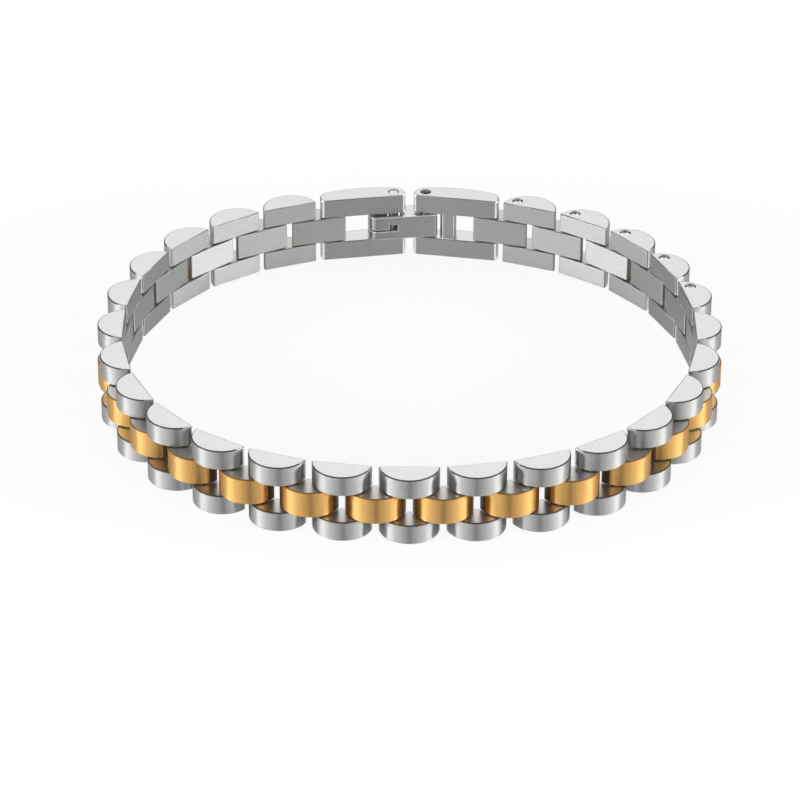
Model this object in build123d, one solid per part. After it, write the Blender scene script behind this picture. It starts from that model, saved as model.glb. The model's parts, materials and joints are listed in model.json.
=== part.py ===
from build123d import *
import math
import os

# Link watch bracelet, closed into a ring. Half-round links lie in three rows: two side
# rows and a centre row that is set half a link on, so that every pin joins a centre link
# to the pair of side pieces beside it. A hook on the right clasp half catches a bar on
# the left one. The ring's axis is Z, the front link is on -Y and the clasp on +Y, and
# the bracelet stands on the lower edges of its side rows. All lengths are millimetres.

# Rows, stacked along Z
side_width = 2.0
centre_width = 2.65
row_gap = 0.1

# Links
hinge_pitch = 3.2
end_gap = 0.72
link_depth = 2.62
pin_height = 0.95
pin_diameter = 1.0
bore_clearance = 0.04
pin_grip = 1.5

# Ring, from the front link to a clasp half
hinges_a_side = 26
oval_share = 0.06
square_share = 0.2
least_closing_angle = 150
most_closing_angle = 200
closing_steps = 40
removable_pins = 5

# Clasp halves
clasp_pin_span = 6.4
clasp_end_reach = 1.13
clasp_depth = 2.38
clasp_end_depth = 1.72
clasp_end_radius = 1.2
clasp_corner_radius = 0.3
clasp_pin_distance = 3.3

# Hook, measured from its pin
hook_width = 2.5
hook_thickness = 0.45
hook_pin_height = 1.1
hook_front_length = 5.87
hook_rear_length = 1.1
hook_tilt = 8.2
hook_end_radius = 0.75
hook_rear_radius = 0.3
hook_swing_clearance = 0.15
hook_bar_clearance = 0.06
slit_width = 0.2
slit_height = 0.9
window_length = 0.83
window_width = 0.73
window_distance = 3.03

# Stop block between the rails of the right clasp half
block_length = 1.5
block_recess = 0.35
block_depth = 1.9
block_radius = 0.45
block_clearance = 0.1

# Sizes that follow from those above
link_length = 2 * hinge_pitch - end_gap
half_ring = (hinges_a_side - 0.5) * hinge_pitch + clasp_pin_span + clasp_pin_distance / 2
pin_radius = pin_diameter / 2
channel_width = centre_width + 2 * row_gap
bracelet_width = channel_width + 2 * side_width
centre_bottom = side_width + row_gap
upper_side_bottom = side_width + channel_width
hook_bottom = side_width + (channel_width - hook_width) / 2
hinge_x = hinge_pitch / 2
clasp_pin_x = clasp_pin_span - hinge_x
clasp_end_x = clasp_pin_x + clasp_end_reach


def prism(outline, bottom, height):
    """Solid of an outline seen from above, from bottom up by height."""
    return Pos(0, 0, bottom) * extrude(outline, amount=height)


def rod(x, radius, bottom, height):
    """Upright round rod on the line of the pins."""
    return Pos(x, -pin_height, bottom) * extrude(Circle(radius), amount=height)


def rounded(face, corner, radius):
    """Face with the corner nearest to a point rounded off."""
    vertex = face.vertices().sort_by_distance((*corner, 0))[0]
    return fillet(vertex, radius)


def box_outline(left, bottom, right, top):
    """Rectangle between two corners."""
    middle = Pos((left + right) / 2, (bottom + top) / 2)
    return middle * Rectangle(right - left, top - bottom)


def link_outline():
    """Half-round link seen from above: flat on the wrist side, at y = 0, and round outside."""
    flat = Line((-link_length / 2, 0), (link_length / 2, 0))
    back = ThreePointArc(flat @ 1, (0, -link_depth), flat @ 0)
    return make_face(flat + back)


def pressed_pin(x):
    """Hinge pin, blind in both side pieces."""
    return rod(x, pin_radius, side_width - pin_grip, channel_width + 2 * pin_grip)


def removable_pin():
    """Hinge pin that takes a link out: flush with the upper edge, blind in the lower side piece."""
    bottom = side_width - pin_grip
    return rod(hinge_x, pin_radius, bottom, bracelet_width - bottom)


def outer_link(with_removable_pin):
    """Two side pieces on their pressed pins, or on one of them and a removable one of its own."""
    outline = link_outline()
    sides = prism(outline, 0, side_width) + prism(outline, upper_side_bottom, side_width)
    link = sides + pressed_pin(-hinge_x)
    if with_removable_pin:
        pin = removable_pin()
        return Compound([*(link - pin).solids(), *pin.solids()])
    return link + pressed_pin(hinge_x)


def centre_link():
    """Centre link, with a bore for the pin at each end."""
    link = prism(link_outline(), centre_bottom, centre_width)
    for x in (-hinge_x, hinge_x):
        link -= rod(x, pin_radius + bore_clearance, centre_bottom, centre_width)
    return link


def clasp_outline():
    """Long side piece of a clasp half seen from above, its low-arched back rounded off at both ends."""
    hinge_end_x = -link_length / 2
    flat = Line((hinge_end_x, 0), (clasp_end_x, 0))
    gap_end = Line(flat @ 1, (clasp_end_x, -clasp_end_depth))
    crown = ((hinge_end_x + clasp_end_x) / 2, -clasp_depth)
    back = ThreePointArc(gap_end @ 1, crown, (hinge_end_x, -clasp_end_depth))
    hinge_end = Line(back @ 1, flat @ 0)
    face = make_face(flat + gap_end + back + hinge_end)
    for x in (hinge_end_x, clasp_end_x):
        face = rounded(face, (x, -clasp_end_depth), clasp_end_radius)
        face = rounded(face, (x, 0), clasp_corner_radius)
    return face


def clasp_rail(bottom):
    """One side piece of a clasp half, with its hole for the clasp pin."""
    rail = prism(clasp_outline(), bottom, side_width)
    return rail - rod(clasp_pin_x, pin_radius, bottom, side_width)


def lower_clasp_rail():
    """Lower side piece of a clasp half, with the pressed pin of the last hinge."""
    pin = rod(-hinge_x, pin_radius, side_width - pin_grip, channel_width + pin_grip)
    return clasp_rail(0) + pin


def clasp_pin():
    """Pin through both side pieces of a clasp half, flush with their outer faces."""
    return rod(clasp_pin_x, pin_radius, 0, bracelet_width)


def bar_height_in_hook():
    """How far outside the hook's own pin its bar lies, square to the hook's plate."""
    return clasp_pin_distance * math.sin(math.radians(hook_tilt))


def hook_leg_height():
    """Outer face of the hook's return leg, which passes just outside the bar."""
    return bar_height_in_hook() + pin_radius + hook_bar_clearance + hook_thickness


def hook_outline():
    """Hook seen from above, its pin at the origin and its free end on -X: a folded strip on a
    thick root. The mouth leaves the ring free that the bar sweeps when the hook swings."""
    leg_height = hook_leg_height()
    plate_inside = hook_thickness - hook_pin_height
    body = box_outline(-hook_front_length, -hook_pin_height, hook_rear_length, leg_height)
    body = rounded(body, (-hook_front_length, -hook_pin_height), hook_end_radius)
    body = rounded(body, (-hook_front_length, leg_height), hook_end_radius)
    body = rounded(body, (hook_rear_length, -hook_pin_height), hook_rear_radius)
    body = rounded(body, (hook_rear_length, leg_height), hook_rear_length)
    bend_radius = hook_end_radius - hook_thickness
    bend_x = hook_thickness - hook_front_length
    pocket = box_outline(bend_x, plate_inside, 0, leg_height - hook_thickness)
    pocket = rounded(pocket, (bend_x, plate_inside), bend_radius)
    pocket = rounded(pocket, (bend_x, leg_height - hook_thickness), bend_radius)
    root = Circle(clasp_pin_distance - pin_radius - hook_swing_clearance)
    swept = Circle(clasp_pin_distance + pin_radius + hook_swing_clearance) - root
    mouth = swept & box_outline(-hook_front_length, plate_inside, 0, leg_height)
    return body - (pocket - root) - mouth


def hook():
    """Hook with its pin bore, a window in its plate, and the slit from there round its free end."""
    part = prism(hook_outline(), hook_bottom, hook_width)
    bore = extrude(Circle(pin_radius + bore_clearance), amount=hook_width)
    slit_outline = box_outline(-hook_front_length, -hook_pin_height, -window_distance, hook_leg_height())
    window_outline = box_outline(
        -window_distance - window_length, -hook_pin_height, -window_distance, hook_thickness - hook_pin_height
    )
    window_bottom = hook_bottom + slit_height
    part -= Pos(0, 0, hook_bottom) * bore
    part -= prism(slit_outline, window_bottom, slit_width)
    return part - prism(window_outline, window_bottom, window_width)


def block_distance():
    """From the hook's pin to the stop block: clear of the hook's rear as it swings."""
    corner = math.hypot(hook_rear_length - hook_rear_radius, hook_pin_height - hook_rear_radius)
    return max(hook_leg_height(), corner + hook_rear_radius) + block_clearance


def stop_block():
    """Block that ties the rails of the right clasp half together behind the hook."""
    front_x = clasp_pin_x - block_distance()
    outline = box_outline(front_x - block_length, -block_depth, front_x, -block_recess)
    outline = rounded(outline, (front_x, -block_recess), block_radius)
    return prism(outline, side_width, channel_width)


def hinge_turn(index, mean_turn):
    """Turn at one hinge of a side, in degrees, where the front, the flanks and the clasp are flatter
    than the four corners between them."""
    around = math.pi * (index + 0.5) * hinge_pitch / half_ring
    uneven = oval_share * math.cos(2 * around) + square_share * math.cos(4 * around)
    return mean_turn * (1 - uneven)


def side_places(mean_turn):
    """Places of the front link and of each link after it on the right side, the last a clasp half."""
    place = Location((0, 0, 0))
    places = [place]
    for index in range(hinges_a_side):
        turn = Location((0, 0, 0), (0, 0, hinge_turn(index, mean_turn)))
        place = place * Pos(hinge_x, -pin_height) * turn * Pos(hinge_x, pin_height)
        places.append(place)
    return places


def clasp_pin_place(clasp_place):
    """Place of the clasp pin of a clasp half."""
    return clasp_place * Pos(clasp_pin_x, -pin_height)


def closing_turn():
    """Mean turn at a hinge that leaves the two clasp pins their distance apart, by halving a range."""
    flattest = least_closing_angle / hinges_a_side
    tightest = most_closing_angle / hinges_a_side
    for _ in range(closing_steps):
        middle = (flattest + tightest) / 2
        reach = clasp_pin_place(side_places(middle)[-1]).position.X
        if reach > clasp_pin_distance / 2:
            flattest = middle
        else:
            tightest = middle
    return middle


def mirrored(place):
    """Place of the same link on the left side."""
    x, y, z = place.position
    return Location((-x, y, z), (0, 0, -place.orientation.Z))


def link_nodes(places):
    """All links by name, numbered from the left clasp half round the front to the right one."""
    front = hinges_a_side // 2
    centre = centre_link()
    outer = outer_link(False)
    outer_to_remove = outer_link(True)
    nodes = {f"outer_link_{front:02d}": outer}
    for step in range(1, hinges_a_side):
        place = places[step]
        right = front + (step + 1) // 2
        left = front - step // 2
        if step % 2:
            nodes[f"centre_link_{right:02d}"] = place * centre
            nodes[f"centre_link_{left:02d}"] = mirrored(place) * centre
        else:
            removable = right >= 2 * front - removable_pins
            nodes[f"outer_link_{right:02d}"] = place * (outer_to_remove if removable else outer)
            nodes[f"outer_link_{left:02d}"] = mirrored(place) * outer
    return nodes


def clasp_nodes(clasp_place):
    """Pieces of both clasp halves by name. The left half is the right one's mirror image."""
    halves = {
        "lower_clasp_rail": clasp_place * lower_clasp_rail(),
        "upper_clasp_rail": clasp_place * clasp_rail(upper_side_bottom),
    }
    nodes = {f"right_{name}": piece for name, piece in halves.items()}
    nodes |= {f"left_{name}": mirror(piece, about=Plane.YZ) for name, piece in halves.items()}
    nodes["hook_pin"] = clasp_place * clasp_pin()
    nodes["catch_bar"] = mirror(clasp_place * clasp_pin(), about=Plane.YZ)
    nodes["stop_block"] = clasp_place * stop_block()
    x, y, _ = clasp_pin_place(clasp_place).position
    nodes["hook"] = Location((x, y, 0), (0, 0, hook_tilt)) * hook()
    return nodes


def main():
    """Builds every node and moves them so that the origin is under the middle of the ring."""
    mean_turn = closing_turn()
    places = side_places(mean_turn)
    nodes = link_nodes(places) | clasp_nodes(places[-1])
    boxes = [piece.bounding_box() for piece in nodes.values()]
    front = min(box.min.Y for box in boxes)
    back = max(box.max.Y for box in boxes)
    to_origin = Pos(0, -(front + back) / 2)
    os.makedirs("parts", exist_ok=True)
    for name, piece in nodes.items():
        export_step(to_origin * piece, f"parts/{name}.step")
    print(f"{len(nodes)} nodes, {back - front:.2f} mm deep, mean turn {mean_turn:.3f} degrees")


main()
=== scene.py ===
# %% [markdown]
# # A link watch bracelet
# The packed model already holds every piece of the bracelet at its real size and place.
# This lesson gives each piece the surface that a finished bracelet has: soft edges that
# catch the light, brushed and polished steel, and gold on the round faces of the middle
# row. Nothing is moved: the new pieces are worked out from the hinge pins of the model.

# %% Load the model
import json
import math

import bmesh
import bpy
import numpy as np
from mathutils import Matrix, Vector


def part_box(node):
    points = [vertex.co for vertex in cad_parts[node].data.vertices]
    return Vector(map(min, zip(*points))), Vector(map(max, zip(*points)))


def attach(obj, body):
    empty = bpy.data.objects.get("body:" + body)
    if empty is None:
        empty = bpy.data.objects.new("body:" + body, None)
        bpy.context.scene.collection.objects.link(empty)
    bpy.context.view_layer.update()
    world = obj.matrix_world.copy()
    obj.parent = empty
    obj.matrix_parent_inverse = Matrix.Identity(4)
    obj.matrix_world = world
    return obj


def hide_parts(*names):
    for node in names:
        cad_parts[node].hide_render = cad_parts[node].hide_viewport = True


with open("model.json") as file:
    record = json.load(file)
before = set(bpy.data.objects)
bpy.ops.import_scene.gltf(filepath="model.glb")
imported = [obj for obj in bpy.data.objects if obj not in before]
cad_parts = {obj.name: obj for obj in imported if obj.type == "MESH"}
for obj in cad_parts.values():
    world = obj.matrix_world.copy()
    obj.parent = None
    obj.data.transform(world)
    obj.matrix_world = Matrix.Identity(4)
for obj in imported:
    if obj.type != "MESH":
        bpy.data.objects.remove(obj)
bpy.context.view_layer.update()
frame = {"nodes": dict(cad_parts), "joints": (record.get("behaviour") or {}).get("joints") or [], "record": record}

# %% [markdown]
# ## Measures
# A link is drawn in its own frame: x runs along the band, y points to the wrist with
# the flat face on y = 0, and z runs across the band. Its sizes are read from the boxes
# of the model's nodes, so that a change there is followed here. The few that no box
# shows, such as the radius of a corner, are named where they are first needed.

# %% Sizes read from the model
mm = 0.001
front_low, front_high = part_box("outer_link_13")
link_length = front_high.x - front_low.x
link_depth = front_high.y - front_low.y
band_width = front_high.z
upper_side_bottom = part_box("right_upper_clasp_rail")[0].z
side_width = band_width - upper_side_bottom
centre_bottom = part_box("centre_link_13")[0].z
centre_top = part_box("centre_link_13")[1].z
pin_radius = (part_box("hook_pin")[1].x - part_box("hook_pin")[0].x) / 2
joint_places = {joint["name"]: np.array(joint["pos_m"])[:2] for joint in frame["joints"]}
pin_height = front_high.y - joint_places["right_hinge_01"][1]
print(f"link {link_length / mm:.2f} by {link_depth / mm:.2f} mm, band {band_width / mm:.2f} mm wide")

# %% Hinge pins in order round the ring
hinges_a_side = sum(name.startswith("right_hinge") for name in joint_places)
left_pins = [joint_places[f"left_hinge_{n:02d}"] for n in range(hinges_a_side, 0, -1)]
right_pins = [joint_places[f"right_hinge_{n:02d}"] for n in range(1, hinges_a_side + 1)]
ring_pins = np.array(left_pins + right_pins)
hinge_x = np.linalg.norm(ring_pins[1] - ring_pins[0]) / 2
bar_low, bar_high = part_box("catch_bar")
catch_bar_place = np.array([bar_low.x + bar_high.x, bar_low.y + bar_high.y]) / 2
body_of = {
    node: body
    for body, nodes in frame["record"]["behaviour"]["bodies"].items()
    for node in nodes
}
print(len(ring_pins), "hinge pins,", round(hinge_x * 2 / mm, 2), "mm apart on a link")


# %% [markdown]
# ## Surfaces on grids
# Every new piece is made of sheets. A sheet is a grid of points with a normal and a
# surface coordinate at each of them, all worked out as whole arrays. Where two sheets
# meet their points are the same, so joining equal points closes the solid, while each
# face corner keeps the exact normal of its own sheet. A bevel tool would do for one
# link, but the exact normals keep the flat faces flat in the reflections.

# %% Arcs and closed outlines
joining_grain = 1e-8


def arc(centre, radius, start, end, count):
    """Points centre + radius * (cos a, sin a), with (cos a, sin a) as their normals, for a from
    start to end."""
    angles = np.linspace(start, end, count)
    normals = np.stack([np.cos(angles), np.sin(angles)], 1)
    return np.array(centre) + radius * normals, normals


def mirrored_loop(arcs):
    """Closed outline from the arcs of its right half and their mirror images in x, in turn. Where
    two arcs touch, their shared point is kept once."""
    points = np.concatenate([points for points, _ in arcs])
    normals = np.concatenate([normals for _, normals in arcs])
    apart = np.append(np.linalg.norm(np.diff(points, axis=0), axis=1) > joining_grain, True)
    points, normals = points[apart], normals[apart]
    flip = np.array([-1, 1])
    points = np.concatenate([points, points[::-1] * flip])
    normals = np.concatenate([normals, normals[::-1] * flip])
    return points, normals


print("points are joined within", joining_grain / mm, "mm")

# %% Outlines of a link and a pin
corner_radius = 0.12 * mm
arc_count = 34
corner_count = 6


def link_loop():
    """Half-round outline: a circle through the crown and both ends of the flat, and a small arc
    that touches the circle and the flat at each end. Its right half runs from the crown up."""
    half = link_length / 2
    radius = (half**2 + link_depth**2) / (2 * link_depth)
    circle_y = radius - link_depth
    corner_x = math.sqrt((radius - corner_radius) ** 2 - (circle_y + corner_radius) ** 2)
    meets = math.atan2(-corner_radius - circle_y, corner_x)
    first_step = (meets + math.pi / 2) / (2 * arc_count)
    round_side = arc((0, circle_y), radius, first_step - math.pi / 2, meets, arc_count)
    corner = arc((corner_x, -corner_radius), corner_radius, meets, math.pi / 2, corner_count)
    return mirrored_loop([round_side, corner])


def circle_loop(centre, radius, count):
    """Full circle about a point, as a closed outline that starts half a step from its lowest point."""
    half_step = math.pi / count
    start = half_step - math.pi / 2
    return arc(centre, radius, start, start + 2 * math.pi - 2 * half_step, count)


print(len(link_loop()[0]), "points round a link")

# %% Sheets and walls
# A piece has up to seven kinds of face: its round back and its flat wrist side, its level
# faces outside, the walls of its holes, the edge along its round back, painted dark as a
# line of shade, its level faces between the rows, and the ends of a centre link, which the
# gold doesn't reach and which are painted dark as shade.
ROUND, FLAT, TOP, PIN, RIM, INNER, END = range(7)
edge_radius = 0.11 * mm
edge_steps = 5


def sheet(points, normals, coordinates, finish):
    """A grid of points with their normals, surface coordinates and one finish or one a column."""
    return {"points": points, "normals": normals, "uv": coordinates, "finish": finish}


def closed(values):
    """The same columns with the first one again at the end."""
    return np.concatenate([values, values[:1]])


def walls(loop, bottom, top, edge, finish):
    """Upright wall over an outline, with a quarter round of the edge's radius at its foot and head:
    inset = edge * (1 - cos a), height = edge * (1 - sin a) from the face, for a from 0 to 90. The
    upper one has the finish of a rim where the wall is round."""
    points, normals = closed(loop[0]), closed(loop[1])
    foot = np.linspace(-math.pi / 2, 0, edge_steps)
    head = np.linspace(0, math.pi / 2, edge_steps)
    height = np.concatenate([bottom + edge * (1 + np.sin(foot)), top - edge * (1 - np.sin(head))])
    lean = np.concatenate([foot, head])
    inset = edge * (1 - np.cos(lean))
    place = points[None] - normals[None] * inset[:, None, None]
    grid = np.concatenate([place, np.broadcast_to(height[:, None, None], place.shape[:2] + (1,))], 2)
    level = np.broadcast_to(normals[None], place.shape) * np.cos(lean)[:, None, None]
    tilt = np.broadcast_to(np.sin(lean)[:, None, None], place.shape[:2] + (1,))
    along = np.concatenate([[0], np.cumsum(np.linalg.norm(np.diff(points, axis=0), axis=1))])
    coordinates = np.stack(np.broadcast_arrays(along[None], height[:, None]), 2) / mm
    looks = np.broadcast_to(finish, (len(height) - 1, len(points) - 1))
    # The head's quarter round on a round wall takes the rim finish, painted dark as a line of shade.
    at_head = np.arange(len(looks)) > edge_steps - 1
    looks = np.where(at_head[:, None] & (looks == ROUND), RIM, looks)
    return sheet(grid, np.concatenate([level, tilt], 2), coordinates, looks)


link_wall = walls(link_loop(), 0, side_width, edge_radius, ROUND)
print("a link's wall is a grid of", link_wall["points"].shape[:2], "points")

# %% Level faces
rim_step = 0.16 * mm


def level_sheet(first, second, height, up, finish):
    """Level face between two rows of points, facing up (1) or down (-1)."""
    rows = (first, second) if up > 0 else (second, first)
    flat = np.stack(rows)
    grid = np.concatenate([flat, np.full(flat.shape[:2] + (1,), height)], 2)
    normals = np.broadcast_to(np.array([0.0, 0.0, up]), grid.shape)
    return sheet(grid, normals, flat / mm, finish)


def plain_cap(loop, height, up, edge, finish):
    """Level face inside an outline: rungs between its first half and its second half reversed."""
    rim = loop[0] - loop[1] * edge
    half = len(rim) // 2
    return level_sheet(rim[:half], rim[half:][::-1], height, up, finish)


def divided(loop, step):
    """The same closed outline with each stretch cut into an even number of parts of at most step."""
    points, normals = closed(loop[0]), closed(loop[1])
    lengths = np.linalg.norm(np.diff(points, axis=0), axis=1)
    parts = 2 * np.ceil(lengths / (2 * step)).astype(int)
    stretch = np.repeat(np.arange(len(parts)), parts)
    order = np.arange(parts.sum()) - np.repeat(np.cumsum(parts) - parts, parts)
    share = (order / parts[stretch])[:, None]
    between = [rows[stretch] * (1 - share) + rows[stretch + 1] * share for rows in (points, normals)]
    return between[0], between[1] / np.linalg.norm(between[1], axis=1, keepdims=True)


def ring_cap(rim, height, up, hole, radius, finish):
    """Level face between a closed row of points and a round hole inside it: each point is joined
    to the point of the circle in the same direction. Returns the face and those directions."""
    outward = rim - np.array(hole)
    outward = outward / np.linalg.norm(outward, axis=1, keepdims=True)
    return level_sheet(rim, np.array(hole) + radius * outward, height, up, finish), outward


print(len(divided(link_loop(), rim_step)[0]), "points round a link with holes")

# %% Holes
hole_chamfer = 0.05 * mm


def bore_band(hole, outward, radii, heights, lean, finish):
    """One band of a round hole's wall, from its upper to its lower rim. Its normals point at the
    axis and lean up by an angle."""
    place = np.array(hole) + outward[None] * np.array(radii)[:, None, None]
    height = np.broadcast_to(np.array(heights)[:, None, None], place.shape[:2] + (1,))
    level = np.broadcast_to(-outward * math.cos(lean), place.shape)
    tilt = np.full(place.shape[:2] + (1,), math.sin(lean))
    turns = np.linspace(0, 1, len(outward))
    coordinates = np.stack(np.broadcast_arrays(turns, np.array(heights)[:, None] / mm), 2)
    normals = np.concatenate([level, tilt], 2)
    return sheet(np.concatenate([place, height], 2), normals, coordinates, finish)


def bore(hole, outward, radius, bottom, top, finish):
    """Wall of a hole right through, with a chamfer at each end."""
    wide = radius + hole_chamfer
    upper, lower = top - hole_chamfer, bottom + hole_chamfer
    return [
        bore_band(hole, outward, (wide, radius), (top, upper), math.pi / 4, finish),
        bore_band(hole, outward, (radius, radius), (upper, lower), 0, finish),
        bore_band(hole, outward, (radius, wide), (lower, bottom), -math.pi / 4, finish),
    ]


print("a hole's chamfer is", round(hole_chamfer / mm, 3), "mm wide")

# %% Closed solids
middle_count = 16


def mirrored_sheets(sheets):
    """The same sheets mirrored in x, with their columns reversed to keep the faces outwards."""
    flip = np.array([-1, 1, 1])
    return [
        sheet(
            (one["points"] * flip)[:, ::-1],
            (one["normals"] * flip)[:, ::-1],
            one["uv"][:, ::-1],
            one["finish"] if np.ndim(one["finish"]) == 0 else one["finish"][:, ::-1],
        )
        for one in sheets
    ]


def slab(loop, bottom, top, edge, side_finish, cap_finishes):
    """Closed solid over an outline, with soft edges. The finishes of its caps are given from the
    bottom up."""
    return [
        walls(loop, bottom, top, edge, side_finish),
        plain_cap(loop, top, 1, edge, cap_finishes[1]),
        plain_cap(loop, bottom, -1, edge, cap_finishes[0]),
    ]


def pierced_slab(loop, bottom, top, edge, hole, radius, side_finish, cap_finishes, bore_finish):
    """The same with one round hole through it."""
    rim = closed(loop[0] - loop[1] * edge)
    upper, outward = ring_cap(rim, top, 1, hole, radius + hole_chamfer, cap_finishes[1])
    lower, _ = ring_cap(rim, bottom, -1, hole, radius + hole_chamfer, cap_finishes[0])
    outer_wall = walls(loop, bottom, top, edge, side_finish)
    return [outer_wall, upper, lower, *bore(hole, outward, radius, bottom, top, bore_finish)]


def twice_pierced_slab(loop, bottom, top, edge, hole, radius, side_finish, cap_finishes, bore_finish):
    """The same with two holes, at x and -x. Each cap is cut along x = 0, where the divided outline
    has a point on either side, and its right half is a face with one hole."""
    rim = np.roll(loop[0] - loop[1] * edge, 1, axis=0)
    right = rim[: len(rim) // 2 + 1]
    middle = np.linspace(right[-1], right[0], middle_count)
    half_rim = np.concatenate([right, middle[1:]])
    upper, outward = ring_cap(half_rim, top, 1, hole, radius + hole_chamfer, cap_finishes[1])
    lower, _ = ring_cap(half_rim, bottom, -1, hole, radius + hole_chamfer, cap_finishes[0])
    right_half = [upper, lower, *bore(hole, outward, radius, bottom, top, bore_finish)]
    return [walls(loop, bottom, top, edge, side_finish), *right_half, *mirrored_sheets(right_half)]


plain_side = slab(link_loop(), 0, side_width, edge_radius, ROUND, (TOP, INNER))
print("a side piece without holes has", len(plain_side), "sheets")

# %% [markdown]
# ## From sheets to an object
# The grids become one mesh. Its place on the ring is put into the points themselves,
# because the object has to stay at the origin, where the model's own nodes are. Blender
# would average the normals where sheets meet, so each face corner is given its own.

# %% Places on the ring
def place_on_ring(first_pin, second_pin, middle_x):
    """Place of a piece from two pins that follow each other counterclockwise: the point of the
    band's inner line at x = 0, and the unit vector along the band. The first pin is at
    -middle_x."""
    along = (second_pin - first_pin) / np.linalg.norm(second_pin - first_pin)
    inward = np.array([-along[1], along[0]])
    return first_pin + middle_x * along + pin_height * inward, along


def turned(vectors, along):
    """Vectors of a piece's own frame in the model's frame."""
    inward = np.array([-along[1], along[0]])
    level = vectors[..., :1] * along + vectors[..., 1:2] * inward
    return np.concatenate([level, vectors[..., 2:]], -1)


front_place = place_on_ring(left_pins[-1], right_pins[0], hinge_x)
print("the front link's flat face is at", (front_place[0] / mm).round(2), "mm")

# %% Joining the sheets
def quads(rows, columns, first):
    """Corner numbers of the faces between neighbouring points of a grid."""
    index = first + np.arange(rows * columns).reshape(rows, columns)
    corners = [index[:-1, :-1], index[:-1, 1:], index[1:, 1:], index[1:, :-1]]
    return np.stack([corner.ravel() for corner in corners], 1)


def put_in_scene(name, data):
    """A new object at the origin for a mesh or a camera."""
    made = bpy.data.objects.new(name, data)
    bpy.context.scene.collection.objects.link(made)
    return made


def make_piece(name, sheets, place, finishes):
    """Mesh object of the sheets at a place on the ring, with equal points joined."""
    origin, along = place
    points, normals, coordinates, faces, finish = [], [], [], [], []
    first = 0
    for one in sheets:
        rows, columns = one["points"].shape[:2]
        points.append(turned(one["points"], along).reshape(-1, 3))
        normals.append(turned(one["normals"], along).reshape(-1, 3))
        coordinates.append(one["uv"].reshape(-1, 2))
        faces.append(quads(rows, columns, first))
        finish.append(np.broadcast_to(one["finish"], (rows - 1, columns - 1)).ravel())
        first += rows * columns
    points = np.concatenate(points) + np.array([*origin, 0])
    faces = np.concatenate(faces)
    grains = np.round(points / joining_grain).astype(np.int64)
    _, kept, joined = np.unique(grains, axis=0, return_index=True, return_inverse=True)
    mesh = bpy.data.meshes.new(name)
    mesh.from_pydata(points[kept].tolist(), [], joined.ravel()[faces].tolist())
    mesh.polygons.foreach_set("material_index", np.concatenate(finish).astype(np.int32))
    mesh.polygons.foreach_set("use_smooth", np.ones(len(faces), bool))
    layer = mesh.uv_layers.new(name="surface")
    layer.uv.foreach_set("vector", np.concatenate(coordinates)[faces].astype(np.float32).ravel())
    mesh.normals_split_custom_set(np.concatenate(normals)[faces].reshape(-1, 3).tolist())
    for material in finishes:
        mesh.materials.append(material)
    return put_in_scene(name, mesh)


print("a link's wall has", len(quads(*link_wall["points"].shape[:2], 0)), "faces")

# %% [markdown]
# ## Shader sums
# A finish is a small network of nodes. Written out node by node it is hard to read, so a
# value in the network is wrapped in a class whose operators add the Math nodes.

# %% Values and nodes of a shader
class Value:
    """One output of a node tree, which Python's operators reckon with."""

    def __init__(self, tree, socket):
        self.tree = tree
        self.socket = socket

    def __add__(self, other):
        return math_node(self.tree, "ADD", self, other)

    def __sub__(self, other):
        return math_node(self.tree, "SUBTRACT", self, other)

    def __rsub__(self, other):
        return math_node(self.tree, "SUBTRACT", other, self)

    def __mul__(self, other):
        return math_node(self.tree, "MULTIPLY", self, other)

    def __truediv__(self, other):
        return math_node(self.tree, "DIVIDE", self, other)

    def __rtruediv__(self, other):
        return math_node(self.tree, "DIVIDE", other, self)

    __radd__ = __add__
    __rmul__ = __mul__


def add_node(tree, kind, settings=None, inputs=None, output=0):
    """Adds a node: its settings first, with a ramp's stops as (place, grey) pairs from place 0 to
    place 1, then the values or links of its sockets. Returns one of its outputs, if it has any."""
    made = tree.nodes.new(kind)
    for name, setting in (settings or {}).items():
        if name == "stops":
            for place, _ in setting[1:-1]:
                made.color_ramp.elements.new(place)
            for stop, (_, grey) in zip(made.color_ramp.elements, setting):
                stop.color = (grey, grey, grey, 1)
        else:
            setattr(made, name, setting)
    for name, value in (inputs or {}).items():
        if isinstance(value, Value):
            tree.links.new(value.socket, made.inputs[name])
        else:
            made.inputs[name].default_value = value
    return Value(tree, made.outputs[output]) if made.outputs else None


def math_node(tree, operation, first, second=0.0):
    """A Math node on values or numbers."""
    return add_node(tree, "ShaderNodeMath", {"operation": operation}, {0: first, 1: second})


def empty_material(name):
    """A new material and its node tree with nothing in it."""
    material = bpy.data.materials.new(name)
    material.use_nodes = True
    material.node_tree.nodes.clear()
    return material, material.node_tree


reflected = [name for name in vars(Value) if name.startswith("__r")]
print("shader sums also work with a number first:", reflected)

# %% [markdown]
# ## Brushed metal
# The round faces of the real links are brushed along the band. The scratches are far
# finer than a pixel of the picture, but they spread every reflection up and down while
# it stays sharp from side to side, so each round face shows upright stripes of light. The
# shader's anisotropy does that. A noise stretched along the band adds the few scratches
# that are coarse enough to see, and slow changes of tone that handling leaves. The level
# faces are polished and smoother, and their colour is painted much lighter as a highlight.
# The edge between them and a round face is painted nearly black, a painted dark line of shade.

# %% Brushed and polished metal
# A density is how many cells of noise there are in a mm. That of the scratches is given
# along the band, across it and in depth.
scratch_density = (1.1, 9.0, 1.0)
cloud_density = 0.7
cloud_tone = 0.12
scratch_roughness = 0.04
cloud_roughness = 0.06
noise_middle = 0.5


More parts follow.
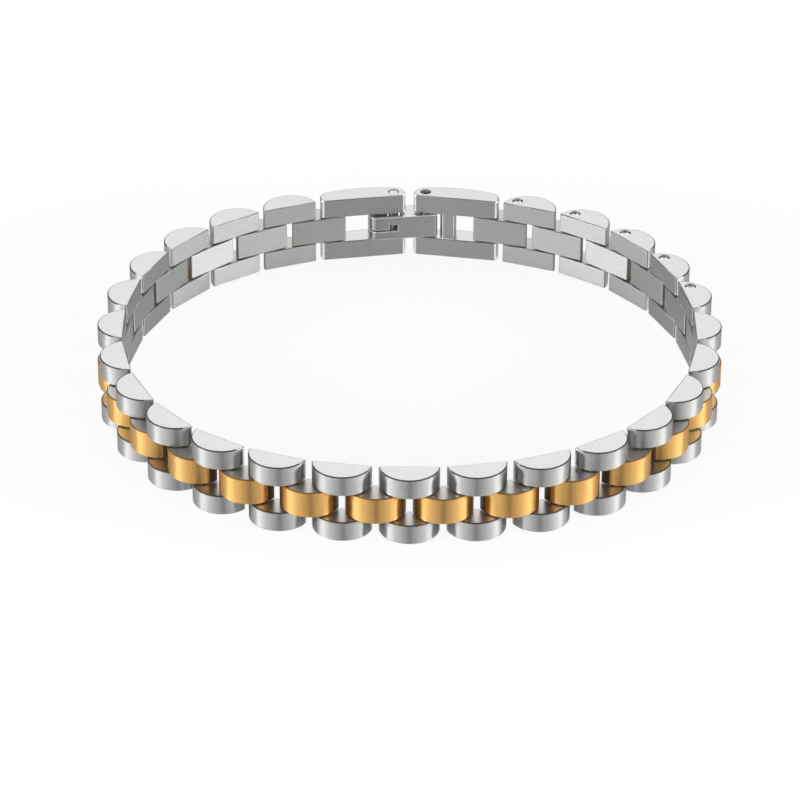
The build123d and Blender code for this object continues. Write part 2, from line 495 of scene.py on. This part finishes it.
def brushed(name, colour, roughness, scratch_depth, streaks=0.4, **constants):
    """Metal with scratches along the band. The surface coordinate's first number runs along it.
    Its tone is colour * (1 + streaks * scratches + cloud_tone * clouds)."""
    material, tree = empty_material(name)
    surface = add_node(tree, "ShaderNodeUVMap", {"uv_map": "surface"})
    stretched = add_node(
        tree, "ShaderNodeVectorMath", {"operation": "MULTIPLY"}, {0: surface, 1: scratch_density}
    )
    fine_noise = {"Vector": stretched, "Scale": 1.0, "Detail": 3.0, "Roughness": 0.6}
    slow_noise = {"Vector": surface, "Scale": cloud_density, "Detail": 2.0}
    scratches = add_node(tree, "ShaderNodeTexNoise", None, fine_noise) - noise_middle
    clouds = add_node(tree, "ShaderNodeTexNoise", None, slow_noise) - noise_middle
    relief = {"Strength": 1.0, "Distance": scratch_depth, "Height": scratches}
    bump = add_node(tree, "ShaderNodeBump", None, relief)
    tone = 1 + streaks * scratches + cloud_tone * clouds
    shade = add_node(tree, "ShaderNodeVectorMath", {"operation": "SCALE"}, {0: colour, "Scale": tone})
    rough = roughness + cloud_roughness * clouds + scratch_roughness * scratches
    sockets = {"Base Color": shade, "Metallic": 1.0, "Roughness": rough, "Normal": bump}
    shader = add_node(tree, "ShaderNodeBsdfPrincipled", None, sockets | constants)
    add_node(tree, "ShaderNodeOutputMaterial", None, {"Surface": shader})
    return material


print("the scratches are about", round(1 / scratch_density[1], 2), "mm wide")

# %% Finishes
# The colours were set against the picture, under this light. Each set has a finish
# for every kind of face, in the order from ROUND to END.
upright_spread = {"Anisotropic": 1.0, "Anisotropic Rotation": 0.25}
brushed_face = {"roughness": 0.44, "scratch_depth": 0.0015 * mm} | upright_spread
polished_face = {"roughness": 0.25, "scratch_depth": 0.0003 * mm, "streaks": 0.16}
painted_dark_edge = {"roughness": 0.5, "scratch_depth": 0.0002 * mm}
round_steel = brushed("round_steel", (0.375, 0.375, 0.372), **brushed_face)
round_gold = brushed("round_gold", (0.555, 0.33, 0.112), **brushed_face)
flat_steel = brushed("flat_steel", (0.33, 0.33, 0.33), **brushed_face)
# Painted light: the level faces' colour is far lighter than the round steel's, a painted highlight.
top_steel_painted_light = brushed("top_steel_painted_light", (0.79, 0.79, 0.785), **polished_face)
# Painted shade: the edge along a round back is coloured nearly black for the thin dark line it shows.
rim_steel_painted_dark = brushed("rim_steel_painted_dark", (0.07, 0.07, 0.07), **painted_dark_edge)
rim_gold_painted_dark = brushed("rim_gold_painted_dark", (0.22, 0.11, 0.03), **painted_dark_edge)
pin_steel = brushed("pin_steel", (0.45, 0.45, 0.45), roughness=0.35, scratch_depth=0.0006 * mm)
# Painted reflection and shade: the level faces between the rows are tinted warm for the gold they mirror, and
# dimmer than the outer level faces for the shade between the rows.
inner_steel_painted_gold_reflection = brushed("inner_steel_painted_gold_reflection", (0.68, 0.645, 0.612), roughness=0.3, scratch_depth=0.002 * mm)
# Painted shade: the ends of a centre link are coloured nearly black-brown for the dark they show.
end_steel_painted_shade = brushed("end_steel_painted_shade", (0.11, 0.085, 0.06), roughness=0.45, scratch_depth=0.001 * mm)
shared_set = [flat_steel, top_steel_painted_light, pin_steel]
steel_set = [round_steel, *shared_set, rim_steel_painted_dark, inner_steel_painted_gold_reflection, round_steel]
# On the clasp rails the level faces between the rows also take this lighter finish, painted light.
clasp_set = [round_steel, *shared_set, rim_steel_painted_dark, top_steel_painted_light, round_steel]
gold_set = [round_gold, *shared_set, rim_gold_painted_dark, inner_steel_painted_gold_reflection, end_steel_painted_shade]
print("finishes:", [material.name for material in bpy.data.materials])

# %% [markdown]
# ## Links
# An outer link is two half-round side pieces on their pins. A centre link is one
# half-round piece between them, steel with a gold face on its round side. Each could be
# an outline with thickness, a bevel and holes cut by Booleans. Sheets were chosen
# because one set of them serves a whole row, with clean chamfers at the holes.

# %% Finishes round an outline
flat_limit = 0.999
corner_limit = 0.05
end_limit = -0.4


def side_finishes(loop, corner=FLAT):
    """Finish of each stretch of an outline by how far it faces the wrist, from -1 to 1: the flat,
    the corners with a finish of their own, the ends, which the gold doesn't reach and which
    are painted dark as shade on the centre links, and the back."""
    toward_wrist = (loop[1][:, 1] + np.roll(loop[1][:, 1], -1)) / 2
    back = np.where(toward_wrist > end_limit, END, ROUND)
    beside = np.where(toward_wrist > corner_limit, corner, back)
    return np.where(toward_wrist > flat_limit, FLAT, beside)


plain_outline = link_loop()
cut_outline = divided(plain_outline, rim_step)
plain_sides = side_finishes(plain_outline)
cut_sides = side_finishes(cut_outline)
print("gold on", np.count_nonzero(cut_sides == ROUND), "of", len(cut_sides), "stretches")

# %% Parts of a link
pin_sides = 28
pin_edge = edge_radius / 2
pin_seat = 0.1 * mm
bore_gap = 0.04 * mm
pin_recess = 0.22 * mm


def rod(x, bottom, top):
    """Upright pin on the line of the hinges."""
    ring = circle_loop((x, -pin_height), pin_radius, pin_sides)
    # Both ends of a pin take the level faces' finish, painted lighter as a highlight.
    return slab(ring, bottom, top, pin_edge, ROUND, (TOP, TOP))


def pressed_pin(x):
    """Pin between the side pieces, with a little of it in each."""
    return rod(x, side_width - pin_seat, upper_side_bottom + pin_seat)


# A size is a bottom, a top and the radius of the edges, and a hole is a place and a radius.
lower_size = (0, side_width, edge_radius)
upper_size = (upper_side_bottom, band_width, edge_radius)
centre_size = (centre_bottom, centre_top, edge_radius)
hinge_hole = ((hinge_x, -pin_height), pin_radius + bore_gap / 2)
bore_hole = ((hinge_x, -pin_height), pin_radius + bore_gap)
lower_side = slab(plain_outline, *lower_size, plain_sides, (TOP, INNER)) + pressed_pin(-hinge_x)
upper_side = slab(plain_outline, *upper_size, plain_sides, (INNER, TOP))
pierced_side = pierced_slab(cut_outline, *upper_size, *hinge_hole, cut_sides, (INNER, TOP), PIN)
removable_pin = rod(hinge_x, side_width - pin_seat, band_width - pin_recess)
plain_sheets = lower_side + upper_side + pressed_pin(hinge_x)
openable_sheets = lower_side + pierced_side + removable_pin
centre_sheets = twice_pierced_slab(
    cut_outline, *centre_size, *bore_hole, cut_sides, (INNER, INNER), PIN
)
print("an outer link has", len(plain_sheets), "sheets, a centre link", len(centre_sheets))


# %% All links
def stand_for(piece, node):
    """Puts a finished piece in its node's place, on the node's own body."""
    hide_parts(node)
    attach(piece, body_of[node])
    return piece


def dress(node, sheets, place, finishes):
    """The finished piece of a node, made of sheets."""
    return stand_for(make_piece(f"{node}_finished", sheets, place, finishes), node)


removable_pins = 5
link_count = len(ring_pins) - 1
for number in range(link_count):
    place = place_on_ring(ring_pins[number], ring_pins[number + 1], hinge_x)
    if number % 2 == 0:
        node = f"centre_link_{number // 2 + 1:02d}"
        piece = dress(node, centre_sheets, place, gold_set)
    else:
        node = f"outer_link_{number // 2 + 1:02d}"
        opens = number // 2 >= link_count // 2 - removable_pins
        link_sheets = openable_sheets if opens else plain_sheets
        piece = dress(node, link_sheets, place, steel_set)
print(link_count, "links, the last one", piece.name, "with", len(piece.data.polygons), "faces")

# %% [markdown]
# ## Clasp
# Each clasp half is two long rails with a low-arched back. The hook turns on the pin of
# the right half and its free end goes round the pin of the left half, the catch bar.
# The left half is the right one's mirror image, so only the right one is drawn. The
# rails are made of sheets as the links are, so that both catch the light alike.

# %% Places of the clasp halves
hook_pin_place = joint_places["hook_hinge"]
clasp_pin_x = np.linalg.norm(hook_pin_place - ring_pins[-1]) - hinge_x
right_half = place_on_ring(ring_pins[-1], hook_pin_place, hinge_x)
left_half = place_on_ring(catch_bar_place, ring_pins[0], clasp_pin_x)
pins_apart = np.linalg.norm(hook_pin_place - catch_bar_place)
print("hook pin and catch bar are", round(pins_apart / mm, 2), "mm apart")

# %% Outline of a rail
clasp_end_depth = 1.72 * mm
clasp_end_radius = 1.2 * mm
clasp_corner_radius = 0.3 * mm


def read(items, name, width, kind=float):
    """One property of all vertices, corners or faces as an array with a row for each."""
    values = np.empty(len(items) * width, kind)
    items.foreach_get(name, values)
    return values.reshape(-1, width)


def own_points(node, place):
    """The points of a node seen from above in the frame of a place on the ring."""
    offset = read(frame["nodes"][node].data.vertices, "co", 3)[:, :2] - place[0]
    inward = np.array([-place[1][1], place[1][0]])
    return np.stack([offset @ place[1], offset @ inward], 1)


def rail_loop(half, depth):
    """Outline of a rail about its middle: a low arc for the back, a large fillet from there to
    each end and a small one from the end to the flat."""
    rise = depth - clasp_end_depth
    back_radius = (half**2 + rise**2) / (2 * rise)
    back_y = back_radius - depth
    fillet_x = half - clasp_end_radius
    fillet_y = back_y - math.sqrt((back_radius - clasp_end_radius) ** 2 - fillet_x**2)
    meets = math.atan2(fillet_y - back_y, fillet_x)
    corner = (half - clasp_corner_radius, -clasp_corner_radius)
    first_step = (meets + math.pi / 2) / (2 * arc_count)
    return mirrored_loop(
        [
            arc((0, back_y), back_radius, first_step - math.pi / 2, meets, arc_count),
            arc((fillet_x, fillet_y), clasp_end_radius, meets, 0, 2 * corner_count),
            arc(corner, clasp_corner_radius, 0, math.pi / 2, corner_count),
        ]
    )


rail_points = own_points("right_upper_clasp_rail", right_half)
rail_low, rail_high = rail_points.min(0), rail_points.max(0)
rail_middle = (rail_low[0] + rail_high[0]) / 2
rail_half = (rail_high[0] - rail_low[0]) / 2
points, normals = divided(rail_loop(rail_half, rail_high[1] - rail_low[1]), rim_step)
rail_outline = (points + np.array([rail_middle, 0]), normals)
print("rails", round(2 * rail_half / mm, 2), "mm long,", len(points), "points round")

# %% Rails, hook pin and catch bar
hook_pin_recess = 0.45 * mm
bar_recess = 0.08 * mm
rail_hole = ((clasp_pin_x, -pin_height), pin_radius + bore_gap / 2)
# The rounded corners of the rails take the level faces' lighter finish, a painted highlight along them.
rail_sides = side_finishes(rail_outline, TOP)
upper_rail = pierced_slab(rail_outline, *upper_size, *rail_hole, rail_sides, (INNER, TOP), PIN)
lower_rail = pierced_slab(rail_outline, *lower_size, *rail_hole, rail_sides, (TOP, INNER), PIN)
lower_rail += pressed_pin(-hinge_x)
hook_pin = rod(clasp_pin_x, hook_pin_recess, band_width - hook_pin_recess)
catch_bar = rod(clasp_pin_x, bar_recess, band_width - bar_recess)
dress("right_upper_clasp_rail", upper_rail, right_half, clasp_set)
dress("right_lower_clasp_rail", lower_rail, right_half, clasp_set)
dress("hook_pin", hook_pin, right_half, steel_set)
dress("left_upper_clasp_rail", mirrored_sheets(upper_rail), left_half, clasp_set)
dress("left_lower_clasp_rail", mirrored_sheets(lower_rail), left_half, clasp_set)
dress("catch_bar", mirrored_sheets(catch_bar), left_half, steel_set)
print("an upper rail has", len(upper_rail), "sheets, a lower one", len(lower_rail))

# %% [markdown]
# ## Hook and stop block
# The hook is a strip folded back on itself, with a slit and a small window near its bend,
# and the stop block ties the rails behind it. The model has their whole shape already,
# so a copy of each mesh only gets soft edges from a Bevel modifier, which carry the level
# faces' lighter finish as a painted highlight. Its loose triangles are merged to whole faces
# first, because a bevel rounds every edge it finds.

# %% Hook and stop block
hook_edge = 0.07 * mm
bevel_steps = 2
merge_distance = 1e-7
merge_angle = math.radians(1)
sharp_angle = math.radians(30)
level_limit = 0.7


def whole_faces(node):
    """Mesh with a node's triangles merged to whole faces, without its old shading."""
    shape = bmesh.new()
    shape.from_mesh(frame["nodes"][node].data)
    bmesh.ops.remove_doubles(shape, verts=shape.verts, dist=merge_distance)
    bmesh.ops.dissolve_limit(shape, angle_limit=merge_angle, verts=shape.verts, edges=shape.edges)
    mesh = bpy.data.meshes.new(f"{node}_finished")
    shape.to_mesh(mesh)
    shape.free()
    for old_layer in ("custom_normal", "sharp_edge", "sharp_face"):
        if old_layer in mesh.attributes:
            mesh.attributes.remove(mesh.attributes[old_layer])
    mesh.polygons.foreach_set("use_smooth", np.ones(len(mesh.polygons), bool))
    return mesh


def softened(node, side_finish, level_finish):
    """The merged mesh of a node with its edges beveled. Its surface coordinate is the height
    beside x + y, or x and y on level faces, which share their finish with the edges."""
    mesh = whole_faces(node)
    points = read(mesh.vertices, "co", 3)[read(mesh.loops, "vertex_index", 1, int)[:, 0]] / mm
    level = np.abs(read(mesh.polygons, "normal", 3)[:, 2]) > level_limit
    level_corners = np.repeat(level, read(mesh.polygons, "loop_total", 1, int)[:, 0])
    upright = np.stack([points[:, 0] + points[:, 1], points[:, 2]], 1)
    coordinates = np.where(level_corners[:, None], points[:, :2], upright)
    layer = mesh.uv_layers.new(name="surface")
    layer.uv.foreach_set("vector", coordinates.astype(np.float32).ravel())
    mesh.materials.clear()
    mesh.materials.append(side_finish)
    mesh.materials.append(level_finish)
    mesh.polygons.foreach_set("material_index", level.astype(np.int32))
    piece = put_in_scene(mesh.name, mesh)
    bevel = piece.modifiers.new("soft edges", "BEVEL")
    bevel.width = hook_edge
    bevel.segments = bevel_steps
    bevel.limit_method = "ANGLE"
    bevel.angle_limit = sharp_angle
    bevel.harden_normals = True
    # The bevel faces take the lighter level finish, a painted highlight along the edges.
    bevel.material = 1
    return piece


for node in ("hook", "stop_block"):
    piece = stand_for(softened(node, flat_steel, top_steel_painted_light), node)
    print(piece.name, "with", len(piece.data.polygons), "faces before its bevel")

# %% [markdown]
# ## Floor and light
# The bracelet stands on a wide pale floor. Seen by the lens or mirrored in the metal, the
# floor is mostly plain white, with a faint shadow. To all other light it is a pale matt
# sheet. The tent of light over it is painted in the world by direction, as a photographer
# would hang cloth and cards: strong low cards at both sides, which draw the upright
# stripes on the round faces, and a soft box above, dim on the lens's side and bright
# behind, which lights the level faces and leaves dark stripes between the bright ones.

# %% Floor
floor_reach = 4.0
floor_colour = (0.95, 0.95, 0.95, 1)
white_share = 0.88
floor_mesh = bpy.data.meshes.new("floor")
corners = np.array([[-1, -1, 0], [1, -1, 0], [1, 1, 0], [-1, 1, 0]]) * floor_reach
floor_mesh.from_pydata(corners.tolist(), [], [[0, 1, 2, 3]])
floor = put_in_scene("floor", floor_mesh)
floor_finish, floor_tree = empty_material("floor")
shaded_floor = add_node(floor_tree, "ShaderNodeBsdfDiffuse", None, {"Color": floor_colour})
white_floor = add_node(floor_tree, "ShaderNodeEmission", None, {"Strength": 1.0})
ray_kinds = ("Is Camera Ray", "Is Glossy Ray", "Is Transmission Ray")
camera_ray, glossy_ray, passing_ray = (
    add_node(floor_tree, "ShaderNodeLightPath", None, None, kind) for kind in ray_kinds
)
seen = math_node(floor_tree, "MINIMUM", camera_ray + glossy_ray + passing_ray, 1.0)
floor_mix = {0: white_share * seen, 1: shaded_floor, 2: white_floor}
floor_look = add_node(floor_tree, "ShaderNodeMixShader", None, floor_mix)
add_node(floor_tree, "ShaderNodeOutputMaterial", None, {"Surface": floor_look})
floor_mesh.materials.append(floor_finish)
print("floor", 2 * floor_reach, "m wide")

# %% Directions in the light tent
# Azimuth runs from 0 at the lens to 1 behind the bracelet, the same on both sides, and
# elevation from 0 at the floor's level to 1 overhead.
tent_turn = math.radians(2)
world = bpy.data.worlds.new("light_tent")
world.use_nodes = True
bpy.context.scene.world = world
tent = world.node_tree
tent.nodes.clear()
direction = add_node(tent, "ShaderNodeTexCoord")
x, y, z = (add_node(tent, "ShaderNodeSeparateXYZ", None, {0: direction}, part) for part in range(3))
ahead = math.sin(tent_turn) * x - math.cos(tent_turn) * y
across = math.cos(tent_turn) * x + math.sin(tent_turn) * y
side = math_node(tent, "ABSOLUTE", across)
azimuth = math_node(tent, "ARCTAN2", side, ahead) / math.pi
elevation = math_node(tent, "ARCSINE", z) / (math.pi / 2)
print("the tent is turned by", round(math.degrees(tent_turn), 1), "degrees")

# %% Cards and soft box
card_strength = 21.5
box_strength = 1.02
fill = 0.02
card_stops = [(0.0, 0.0), (0.03, 0.0), (0.05, 0.17), (0.095, 0.2), (0.17, 0.33), (0.24, 0.46)]
card_stops += [(0.31, 0.57), (0.37, 0.82), (0.42, 1.0), (0.465, 1.0), (0.495, 0.5), (0.54, 0.24)]
card_stops += [(0.62, 0.14), (0.7, 0.03), (0.78, 0.0), (1.0, 0.0)]
card_height_stops = [(0.0, 0.0), (0.05, 0.0), (0.08, 1.0), (0.185, 1.0), (0.24, 0.0), (1.0, 0.0)]
box_stops = [(0.0, 0.27), (0.62, 0.27), (0.74, 1.0), (1.0, 1.0)]
box_height_stops = [(0.0, 0.0), (0.18, 0.0), (0.25, 1.0), (1.0, 1.0)]


def ramp(stops, value):
    """Brightness of a cloth at a value, straight between its stops."""
    return add_node(tent, "ShaderNodeValToRGB", {"stops": stops}, {0: value})


cards = ramp(card_stops, azimuth) * ramp(card_height_stops, elevation)
soft_box = ramp(box_stops, azimuth) * ramp(box_height_stops, elevation)
brightness = fill + card_strength * cards + box_strength * soft_box
background = add_node(tent, "ShaderNodeBackground", None, {"Color": brightness, "Strength": 1.0})
add_node(tent, "ShaderNodeOutputWorld", None, {"Surface": background})
print("light tent of", len(tent.nodes), "nodes")

# %% [markdown]
# ## Camera
# The camera was found by fitting the corners of the links in the picture. It aims at a
# point in the plane of the upper edges. Its lens is long, so the far links look only a
# little smaller than the near ones.

# %% Camera
picture_width = 800
focal_pixels = 4357.8
sensor_width = 36.0
camera_distance = 410.75 * mm
camera_elevation = math.radians(30.32)
camera_roll = math.radians(0.226)
aim_x = -0.903 * mm
aim_behind_front = 12.132 * mm
aim = np.array([aim_x, front_high.y + aim_behind_front, band_width])
camera_data = bpy.data.cameras.new("camera")
camera_data.sensor_width = sensor_width
camera_data.lens = sensor_width * focal_pixels / picture_width
camera = put_in_scene("camera", camera_data)
back = np.array([0, -math.cos(camera_elevation), math.sin(camera_elevation)])
camera.location = aim + camera_distance * back
camera.rotation_mode = "XYZ"
camera.rotation_euler = (math.pi / 2 - camera_elevation, 0, 0)
turn = camera.rotation_euler.to_matrix().to_4x4()
camera.rotation_euler = (turn @ Matrix.Rotation(camera_roll, 4, "Z")).to_euler()
bpy.context.scene.camera = camera
bpy.context.scene.view_settings.view_transform = "Standard"
print("lens of", round(camera_data.lens, 1), "mm,", round(camera_distance / mm, 1), "mm away")
